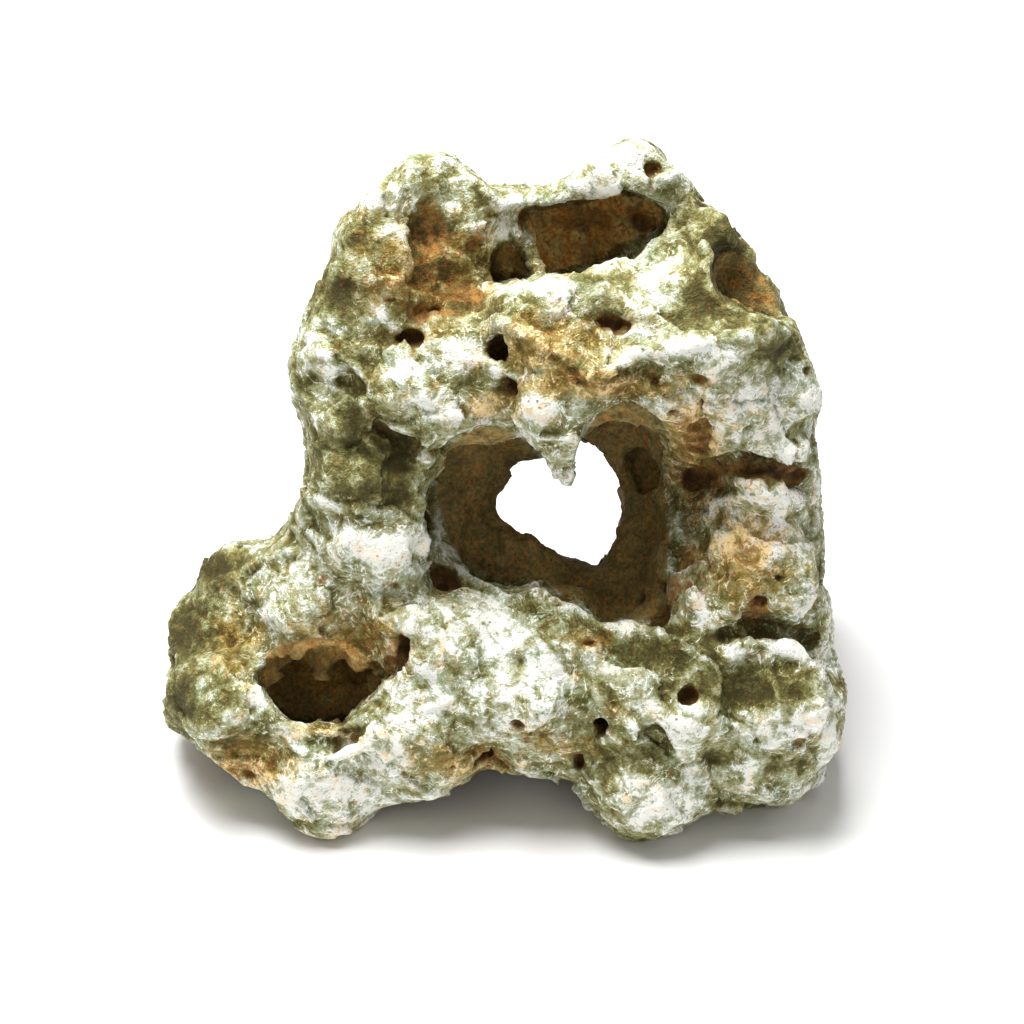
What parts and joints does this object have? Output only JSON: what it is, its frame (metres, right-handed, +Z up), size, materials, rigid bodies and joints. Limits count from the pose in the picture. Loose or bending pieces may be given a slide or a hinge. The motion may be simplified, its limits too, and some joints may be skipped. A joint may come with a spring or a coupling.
{
  "type": "jura limestone rock",
  "caption": "Upright holey limestone rock with a heart-shaped cave, a tunnel through it, horns on top and arched feet.",
  "frame": {"origin": "on the floor, under the middle of the stone's box", "axes": "+Z up, -Y out of the face with the large cave, +X to the right of that face"},
  "size_m": [0.2102, 0.1382, 0.2023],
  "materials": {
    "limestone": "matt, weathered"
  },
  "bodies": {
    "root": {"stone": "limestone"}
  },
  "joints": []
}
